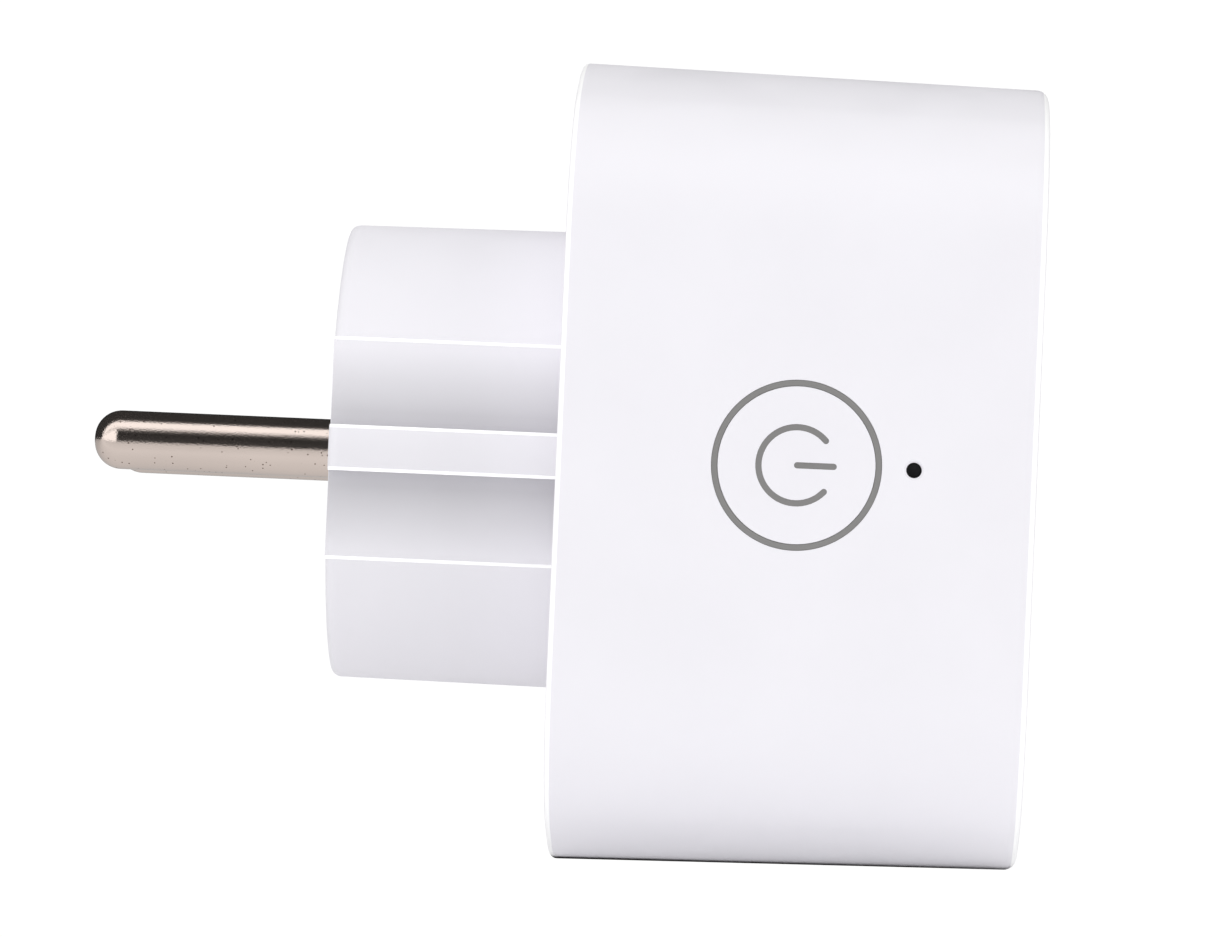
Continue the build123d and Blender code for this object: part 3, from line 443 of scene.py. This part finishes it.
join(tree, mixed(tree, pits, source(shader, "Base Color"), PIT_BROWN), shader.inputs["Base Color"])
long_way = add_node(tree, "ShaderNodeMapping")
long_way.inputs["Scale"].default_value = LINE_SCALE
join(tree, place, long_way.inputs["Vector"])
drawn = add_node(tree, "ShaderNodeBump")
drawn.inputs["Distance"].default_value = LINE_DEPTH
join(tree, maths(tree, "SUBTRACT", noise(tree, long_way.outputs[0], 1), pits), drawn.inputs["Height"])
join(tree, source(shader, "Normal"), drawn.inputs["Normal"])
join(tree, drawn.outputs["Normal"], shader.inputs["Normal"])
print("pin finish:", pin_nickel.name)

# %% [markdown]
# The other parts keep the shapes they came with and only need a finish. Most
# of them are inside the housing, and show when the model is opened up. Each
# part names the kind of finish it wants, so one table dresses them all.

# %% Other finishes
RING_GREY = (0.222, 0.218, 0.214)
recipes = {
    # name: (colour, roughness, drift, metal)
    "ring_smoke": (RING_GREY, 0.45, 0.04, 0),
    "mark_grey": (RING_GREY, 0.55, 0.04, 0),
    "spring_bronze": ((0.80, 0.62, 0.42), 0.42, 0.06, 1),
    "plated_steel": ((0.72, 0.73, 0.74), 0.25, 0.05, 1),
    "carrier_plastic": ((0.78, 0.76, 0.68), 0.55, 0.03, 0),
    "shutter_plastic": ((0.80, 0.80, 0.80), 0.5, 0.02, 0),
    "dark_plastic": ((0.02, 0.02, 0.022), 0.45, 0.1, 0),
    "relay_blue": ((0.03, 0.12, 0.38), 0.3, 0.06, 0),
    "copper_winding": ((0.75, 0.32, 0.13), 0.3, 0.1, 1),
    "soft_iron": ((0.55, 0.55, 0.56), 0.35, 0.05, 1),
    "ferrite": ((0.05, 0.05, 0.055), 0.6, 0.12, 0),
    "capacitor_yellow": ((0.70, 0.47, 0.06), 0.45, 0.05, 0),
    "varistor_blue": ((0.04, 0.14, 0.42), 0.3, 0.08, 0),
    "resistor_green": ((0.12, 0.32, 0.2), 0.45, 0.08, 0),
    "sleeve_black": ((0.03, 0.03, 0.035), 0.3, 0.1, 0),
    "led_white": ((0.85, 0.80, 0.55), 0.25, 0.04, 0),
    "radio_metal": ((0.74, 0.74, 0.75), 0.3, 0.04, 1),
}
finishes = {"shell_white": shell_white, "button_white": button_white, "pin_nickel": pin_nickel}
for name, (colour, roughness, drift, metal) in recipes.items():
    finishes[name] = finish(name, colour, roughness, drift=drift, metal=metal)[0]
finishes["board_green"] = finish(
    "board_green", (0.02, 0.17, 0.06), 0.35, drift=0.12, grain=900, grain_depth=0.01
)[0]
slot_of = {part["node"]: part["material_slot"] for part in frame["record"]["subparts"]}


def dress(node, material):
    """Gives a part of the frame its finish, in every material slot it has."""
    mesh = nodes[node].data
    mesh.materials.clear()
    mesh.materials.append(material)


for node, slot_name in slot_of.items():
    dress(node, finishes[slot_name])
dress("rear_cover", insert_white)
dress("socket_cup", cup_white)
print("dressed", len(slot_of), "parts in", len(finishes), "finishes")

# %% [markdown]
# New pieces are drawn with a small pen: one vertex is pulled along lines and
# spun along arcs, which leaves a chain of edges. Chains are bridged into walls
# and filled into faces. The body and the insert are the same on all four
# quarters, so only one quarter is drawn and it is mirrored twice.

# %% Pen helpers
AXIS_Y = Vector((0, 1, 0))
WELD = 0.0005 * MM


def line_to(pen, vert, x, y, z, steps=1):
    """Pulls the pen to a point in mm in equal steps; gives the vertices it leaves."""
    start = vert.co.copy()
    end = Vector((x, y, z)) * MM
    trail = []
    for step in range(1, steps + 1):
        vert = bmesh.ops.extrude_vert_indiv(pen, verts=[vert])["verts"][0]
        vert.co = start.lerp(end, step / steps)
        trail.append(vert)
    return trail


def arc_by(pen, vert, x, z, angle, steps):
    """Spins the pen round a line along Y through x and z in mm; gives the vertices."""
    trail = []
    centre = Vector((x * MM, vert.co.y, z * MM))
    for _ in range(steps):
        spun = bmesh.ops.spin(pen, geom=[vert], cent=centre, axis=AXIS_Y, angle=angle / steps, steps=1)
        vert = [item for item in spun["geom_last"] if isinstance(item, bmesh.types.BMVert)][0]
        trail.append(vert)
    return trail


def links(pen, chain):
    """The edges along a chain of vertices."""
    return [pen.edges.get(pair) for pair in zip(chain, chain[1:])]


def wall(pen, first, second):
    """Bridges two chains of the same length with a strip of faces."""
    bmesh.ops.bridge_loops(pen, edges=links(pen, first) + links(pen, second))


def lid(pen, *chains):
    """Fills the flat face whose rim is the given chains, taken one after another."""
    rim = [vert for chain in chains for vert in chain]
    edges = []
    for start, end in zip(rim, rim[1:] + rim[:1]):
        if start is not end:
            edges.append(pen.edges.get((start, end)) or pen.edges.new((start, end)))
    bmesh.ops.edgeloop_fill(pen, edges=edges)


def four_ways(pen):
    """Mirrors a quarter across X and then across Z, and welds the seams."""
    for axis in ("X", "Z"):
        everything = pen.verts[:] + pen.edges[:] + pen.faces[:]
        bmesh.ops.mirror(pen, geom=everything, matrix=Matrix.Identity(4), merge_dist=WELD, axis=axis)
    bmesh.ops.remove_doubles(pen, verts=pen.verts, dist=WELD)
    bmesh.ops.recalc_face_normals(pen, faces=pen.faces)


def turned(pen, profile, x, z, steps=64):
    """Spins a profile of (radius, depth) corners round a line along Y into a closed solid."""
    chain = [pen.verts.new(((x + profile[0][0]) * MM, -profile[0][1] * MM, z * MM))]
    for radius, depth in profile[1:]:
        chain += line_to(pen, chain[-1], x + radius, -depth, z)
    centre = Vector((x, 0, z)) * MM
    bmesh.ops.spin(
        pen, geom=chain + links(pen, chain), cent=centre, axis=AXIS_Y,
        angle=2 * math.pi, steps=steps, use_merge=True,
    )


print("pen ready, welding within", WELD, "m")

# %% [markdown]
# A drawing becomes a piece in a few steps that are the same each time: weld
# it, point its faces outwards, keep its sharp edges sharp, give it its
# materials, hang it on the plug's body and hide the frame part it stands for.

# %% Piece helpers
SHARP_ANGLE = math.radians(32)


def tidy(mesh):
    """Welds a mesh, points its faces outwards and marks its sharp edges; counts its open edges."""
    work = bmesh.new()
    work.from_mesh(mesh)
    bmesh.ops.remove_doubles(work, verts=work.verts, dist=WELD)
    bmesh.ops.dissolve_degenerate(work, dist=WELD, edges=work.edges)
    loose = [edge for edge in work.edges if not edge.link_faces]
    bmesh.ops.delete(work, geom=loose, context="EDGES")
    bmesh.ops.recalc_face_normals(work, faces=work.faces)
    for face in work.faces:
        face.smooth = True
    for edge in work.edges:
        edge.seam = False
        if len(edge.link_faces) == 2:
            edge.smooth = edge.calc_face_angle() < SHARP_ANGLE
    open_edges = sum(1 for edge in work.edges if len(edge.link_faces) != 2)
    work.to_mesh(mesh)
    work.free()
    return open_edges


def as_object(pen, name):
    """Ends a drawing: an object at the origin that holds its mesh."""
    mesh = bpy.data.meshes.new(name)
    pen.to_mesh(mesh)
    pen.free()
    thing = bpy.data.objects.new(name, mesh)
    bpy.context.scene.collection.objects.link(thing)
    return thing


def cut_out(thing, cutter):
    """Subtracts a cutter from an object for good, and removes the cutter."""
    tidy(cutter.data)
    boolean = thing.modifiers.new("cut", "BOOLEAN")
    boolean.operation = "DIFFERENCE"
    boolean.solver = "EXACT"
    boolean.object = cutter
    bpy.context.view_layer.update()
    shaped = bpy.data.meshes.new_from_object(thing.evaluated_get(bpy.context.evaluated_depsgraph_get()))
    thing.modifiers.clear()
    old, thing.data = thing.data, shaped
    bpy.data.meshes.remove(old)
    bpy.data.objects.remove(cutter)


def hand_over(thing, materials, stands_for):
    """Finishes a piece's surface, gives it its materials, hangs it on the plug's body and hides the part it
    stands for.
    """
    open_edges = tidy(thing.data)
    for material in materials:
        thing.data.materials.append(material)
    even = thing.modifiers.new("even_normals", "WEIGHTED_NORMAL")
    even.keep_sharp = True
    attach(thing, "plug")
    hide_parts(stands_for)
    print(thing.name, len(thing.data.polygons), "faces,", open_edges, "open edges")


print("sharp edges turn by more than", round(math.degrees(SHARP_ANGLE)), "degrees")

# %% [markdown]
# The shell is a deep open box. Its outline has bowed ends, round corners and
# flat sides, and it leans in towards the front as a moulding must to leave its
# mould. A subdivided box would give soft, uncertain corners, so the outline is
# drawn exactly, once for each level, and the levels are bridged: up the outside,
# in to the socket's hole, and back down the inside.

# %% Shell levels
shell_low, shell_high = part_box("front_shell")
rear, front = -shell_high.y / MM, -shell_low.y / MM
half_width, half_height = shell_high.x / MM, shell_high.z / MM
LEAN = math.radians(1.1)
DRAFT = math.tan(LEAN)
WALL = 1.6
FRONT_WALL = 2.0
BOW = 45.0
CORNER = 14.0
HOLE = 20.8
BOW_STEPS, CORNER_STEPS, SIDE_STEPS = 14, 30, 6
OUTLINE_STEPS = BOW_STEPS + CORNER_STEPS + SIDE_STEPS
bow_z = half_height - BOW
corner_x = half_width - CORNER
corner_z = bow_z + math.sqrt((BOW - CORNER) ** 2 - corner_x ** 2)
corner_turn = math.atan2(corner_z - bow_z, corner_x)


def body_quarter(pen, inset, depth):
    """The outline from the top middle to the side middle, moved in by inset."""
    chain = [pen.verts.new((0, -depth * MM, (half_height - inset) * MM))]
    chain += arc_by(pen, chain[-1], 0, bow_z, math.pi / 2 - corner_turn, BOW_STEPS)
    chain += arc_by(pen, chain[-1], corner_x, corner_z, corner_turn, CORNER_STEPS)
    chain += line_to(pen, chain[-1], half_width - inset, -depth, 0, SIDE_STEPS)
    return chain


def circle_quarter(pen, radius, depth):
    """A quarter of the socket's hole, with as many steps as the outline."""
    chain = [pen.verts.new((0, -depth * MM, radius * MM))]
    return chain + arc_by(pen, chain[-1], 0, 0, math.pi / 2, OUTLINE_STEPS)


print("corner centre", round(corner_x, 2), round(corner_z, 2))

# %% [markdown]
# Six outlines make the box: two outside, two round the socket's hole and two
# inside. Each is bridged to the next, and the last to the first, so the quarter
# closes on itself. It could also be a thickened skin, but then the walls' draft
# and the thicker front would be harder to set.

# %% Shell walls
pen = bmesh.new()
length = front - rear
inner_front = front - FRONT_WALL
levels = [
    body_quarter(pen, 0, rear),
    body_quarter(pen, length * DRAFT, front),
    circle_quarter(pen, HOLE, front),
    circle_quarter(pen, HOLE, inner_front),
    body_quarter(pen, WALL + (inner_front - rear) * DRAFT, inner_front),
    body_quarter(pen, WALL, rear),
]
for first, second in zip(levels, levels[1:] + levels[:1]):
    wall(pen, first, second)
for rim in levels[:2]:
    for edge in links(pen, rim):
        edge.seam = True
four_ways(pen)
print("walls", len(pen.faces), "faces")

# %% [markdown]
# No mould leaves a knife edge. The front rim has a radius of about a
# millimetre and the rear rim half of that. The rims were marked as seams while
# the quarter was drawn, so the bevel finds them after the mirroring.

# %% Shell rims
SAME_LEVEL = 1e-7
for depth, radius, segments in ((rear, 0.5, 5), (front, 0.95, 8)):
    rim = [edge for edge in pen.edges if edge.seam and abs(edge.verts[0].co.y + depth * MM) < SAME_LEVEL]
    bmesh.ops.bevel(
        pen, geom=rim, offset=radius * MM, offset_type="OFFSET", segments=segments, profile=0.5,
        affect="EDGES", material=-1, clamp_overlap=True,
    )
    print("rounded", len(rim), "edges by", radius, "mm")
shell = as_object(pen, "shell")

# %% [markdown]
# The button's hole and the pinhole go through the left side, which leans with
# the draft. Each cutter is turned round Y like a part on a lathe and then laid
# over to point out of that side. The pinhole's mouth is flared a little, since
# a pin has to find it.

# %% Shell openings
side_y = -(rear + length / 2)
side_x = half_width - length / 2 * DRAFT
to_side = Matrix((
    (math.sin(LEAN), -math.cos(LEAN), 0, -side_x * MM),
    (-math.cos(LEAN), -math.sin(LEAN), 0, side_y * MM),
    (0, 0, -1, 0),
    (0, 0, 0, 1),
))
BUTTON_HOLE = [(0, -1), (6.8, -1), (6.8, 2.6), (0, 2.6)]
PINHOLE = [(0, -1), (0.79, -1), (0.79, 0), (0.625, 0.16), (0.625, 2.6), (0, 2.6)]
PINHOLE_OFFSET = 9.35
for profile, offset, steps in ((BUTTON_HOLE, 0, 128), (PINHOLE, PINHOLE_OFFSET, 48)):
    pen = bmesh.new()
    turned(pen, profile, offset, 0, steps=steps)
    bmesh.ops.transform(pen, matrix=to_side, verts=pen.verts)
    cut_out(shell, as_object(pen, "cutter"))
print("openings cut,", len(shell.data.polygons), "faces")

# %% [markdown]
# Four posts stand inside the shell for the screws of the main board. Each is a
# tube on the lathe, a little sunk into the front wall that it grows from.

# %% Screw posts
POST_X, POST_Z = 17.0, 22.5
POST = [
    (0.8, 29.4), (0.8, 23.4), (2.2, 23.4), (2.2, front - 1.0), (0.0, front - 1.0), (0.0, 29.4), (0.8, 29.4),
]
pen = bmesh.new()
pen.from_mesh(shell.data)
for x in (-POST_X, POST_X):
    for z in (-POST_Z, POST_Z):
        turned(pen, POST, x, z, steps=32)
pen.to_mesh(shell.data)
pen.free()
hand_over(shell, [shell_white], "front_shell")

# %% [markdown]
# The rear cover is a plate with the round insert standing on it. The insert is
# a short cone with two guide flats and a rib on each side, and a notch above and
# below for the earth contacts. The edge round its face is rounded, but the flats
# run straight to the face, so the outline is drawn again for each level of the
# rounding. Each crisp corner is given its own narrow strip of faces, the small
# radius that a mould would leave.

# %% Insert outline
FACE_RADIUS, BASE_RADIUS = 18.937, 19.1
FACE_FILLET = 0.9
FLAT = 16.65
RIB = 1.85
FLAT_END = 9.0
NOTCH = 3.2
NOTCH_FLOOR = 16.2
EDGE_STRIP = 0.26
HOLLOW_RADIUS, HOLLOW_SIDE = 17.14, 14.85
HOLLOW_NOTCH_SIDE, HOLLOW_NOTCH_TOP = 5.0, 14.8


def insert_quarter(pen, radius, depth):
    """The insert's outline from the rib's middle round to the notch's middle."""
    rib_turn = math.asin((RIB - EDGE_STRIP) / radius)
    arc_start = math.asin(FLAT_END / radius)
    arc_end = math.acos((NOTCH + EDGE_STRIP) / radius)
    chain = [pen.verts.new((radius * MM, -depth * MM, 0))]
    chain += arc_by(pen, chain[-1], 0, 0, -rib_turn, 4)
    chain += line_to(pen, chain[-1], math.sqrt(radius ** 2 - RIB ** 2) - EDGE_STRIP, -depth, RIB)
    chain += line_to(pen, chain[-1], FLAT, -depth, RIB)
    chain += line_to(pen, chain[-1], FLAT, -depth, FLAT_END - EDGE_STRIP, 4)
    chain += line_to(pen, chain[-1], radius * math.cos(arc_start), -depth, FLAT_END)
    chain += arc_by(pen, chain[-1], 0, 0, arc_start - arc_end, 30)
    chain += line_to(pen, chain[-1], NOTCH, -depth, math.sqrt(radius ** 2 - NOTCH ** 2) - EDGE_STRIP)
    chain += line_to(pen, chain[-1], NOTCH, -depth, NOTCH_FLOOR)
    chain += line_to(pen, chain[-1], 0, -depth, NOTCH_FLOOR, 2)
    return chain


def hollow_quarter(pen, depth):
    """The outline of the hollow inside the insert, from its side to its top."""
    corner = math.acos(HOLLOW_SIDE / HOLLOW_RADIUS)
    notch_turn = math.acos(HOLLOW_NOTCH_SIDE / HOLLOW_RADIUS)
    chain = [pen.verts.new((HOLLOW_SIDE * MM, -depth * MM, 0))]
    chain += line_to(pen, chain[-1], HOLLOW_SIDE, -depth, HOLLOW_RADIUS * math.sin(corner), 3)
    chain += arc_by(pen, chain[-1], 0, 0, corner - notch_turn, 16)
    chain += line_to(pen, chain[-1], HOLLOW_NOTCH_SIDE, -depth, HOLLOW_NOTCH_TOP)
    return chain + line_to(pen, chain[-1], 0, -depth, HOLLOW_NOTCH_TOP)


print("insert", round(2 * BASE_RADIUS, 1), "mm across at its root")

# %% [markdown]
# The insert and its plate are one moulding, so they are one closed mesh. The
# levels of the rounding and the root give the outside, the hollow and the pins'
# holes give the inside, and flat lids join them where the plate and the face lie.

# %% Insert walls
PIN_X = 9.5
PIN_HOLE = 2.02
FACE_WALL = 2.2
PLATE = 2.0
PLATE_INSET = 1.72
FILLET_STEPS = 5
pen = bmesh.new()
sections = []
for step in range(FILLET_STEPS + 1):
    turn = math.pi / 2 * step / FILLET_STEPS
    radius = FACE_RADIUS - FACE_FILLET * (1 - math.sin(turn))
    sections.append(insert_quarter(pen, radius, FACE_FILLET * (1 - math.cos(turn))))
sections.append(insert_quarter(pen, BASE_RADIUS, rear))
for first, second in zip(sections, sections[1:]):
    wall(pen, first, second)


def half_hole(pen, depth):
    """Half of a pin's hole, from its far side round to its near side."""
    chain = [pen.verts.new(((PIN_X + PIN_HOLE) * MM, -depth * MM, 0))]
    return chain + arc_by(pen, chain[-1], PIN_X, 0, -math.pi, 32)


def middle(pen, depth):
    """A vertex on the plug's axis."""
    return [pen.verts.new((0, -depth * MM, 0))]


plate_rear = body_quarter(pen, PLATE_INSET, rear)
plate_front = body_quarter(pen, PLATE_INSET + PLATE * DRAFT, rear + PLATE)
hollow_front = hollow_quarter(pen, rear + PLATE)
hollow_floor = hollow_quarter(pen, FACE_WALL)
hole_rear, hole_front = half_hole(pen, 0), half_hole(pen, FACE_WALL)
wall(pen, plate_rear, plate_front)
wall(pen, hollow_front, hollow_floor)
wall(pen, hole_rear, hole_front)
lid(pen, sections[-1], plate_rear)
lid(pen, hollow_front, plate_front)
lid(pen, sections[0], middle(pen, 0), hole_rear[::-1])
lid(pen, hollow_floor, middle(pen, FACE_WALL), hole_front[::-1])
four_ways(pen)
print("insert", len(pen.faces), "faces")

# %% [markdown]
# The narrow strips get the painted highlight material, which is whiter and glows
# a little. They are found by where they lie and how they face, which is simpler
# than following them through the mirroring.
# Two short posts for the pins' retainer are added on the lathe.

# %% Insert strips and posts
HIGHLIGHT_SLOT = 1
POST_OFFSET = 6.2
COVER_POST = [(0.8, 1.1), (0.8, 3.7), (2.2, 3.7), (2.2, 1.1), (0.8, 1.1)]


def is_strip(face):
    """Whether a face is a crisp edge, of a rib or at the end of a flat."""
    centre = face.calc_center_median() / MM
    across, height = abs(centre.x), abs(centre.z)
    rib_edge = 0.2 < abs(face.normal.z) < 0.9 and height < RIB + 0.02 and across > FLAT + 0.5
    flat_edge = abs(height - FLAT_END + EDGE_STRIP / 2) < EDGE_STRIP / 2 and across > FLAT - 1
    return (rib_edge or flat_edge) and -rear < centre.y < 0


# The strips get the painted highlight material.
strips = [face for face in pen.faces if is_strip(face)]
for face in strips:
    face.material_index = HIGHLIGHT_SLOT
for z in (-POST_OFFSET, POST_OFFSET):
    turned(pen, COVER_POST, 0, z, steps=32)
cover = as_object(pen, "insert")
print("strips", len(strips))
hand_over(cover, [insert_white, painted_highlight_strip], "rear_cover")

# %% [markdown]
# The pins are solid turned pins. A lathe is the honest way to make them here
# too: one profile, spun round the pin's axis. The profile goes on inside the
# plug, with a neck through the insert's face, a collar that bears on it and a
# thin tail for the wire.

# %% Pins
PIN_RADIUS = 2.4
TIP_RADIUS = 2.2
TIP_STEPS = 14
NECK, COLLAR, TAIL = 2.0, 3.6, 1.9
COLLAR_END = 3.7
pin_low, pin_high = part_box("plug_pin_left")
pin_end, pin_tail = -pin_high.y / MM, -pin_low.y / MM
PIN = [(0, pin_end)]
for step in range(TIP_STEPS + 1):
    turn = math.pi / 2 * step / TIP_STEPS
    tip_depth = pin_end + TIP_RADIUS * (1 - math.cos(turn))
    PIN.append((PIN_RADIUS - TIP_RADIUS * (1 - math.sin(turn)), tip_depth))
PIN += [
    (PIN_RADIUS, -0.06), (PIN_RADIUS - 0.06, 0), (NECK, 0), (NECK, FACE_WALL),
    (COLLAR - 0.1, FACE_WALL), (COLLAR, FACE_WALL + 0.1),
    (COLLAR, COLLAR_END - 0.1), (COLLAR - 0.1, COLLAR_END),
    (TAIL, COLLAR_END), (TAIL, pin_tail - 0.3), (TAIL - 0.3, pin_tail), (0, pin_tail),
]
for name, x in (("pin_left", -PIN_X), ("pin_right", PIN_X)):
    pen = bmesh.new()
    turned(pen, PIN, x, 0, steps=96)
    hand_over(as_object(pen, name), [pin_nickel], "plug_" + name)
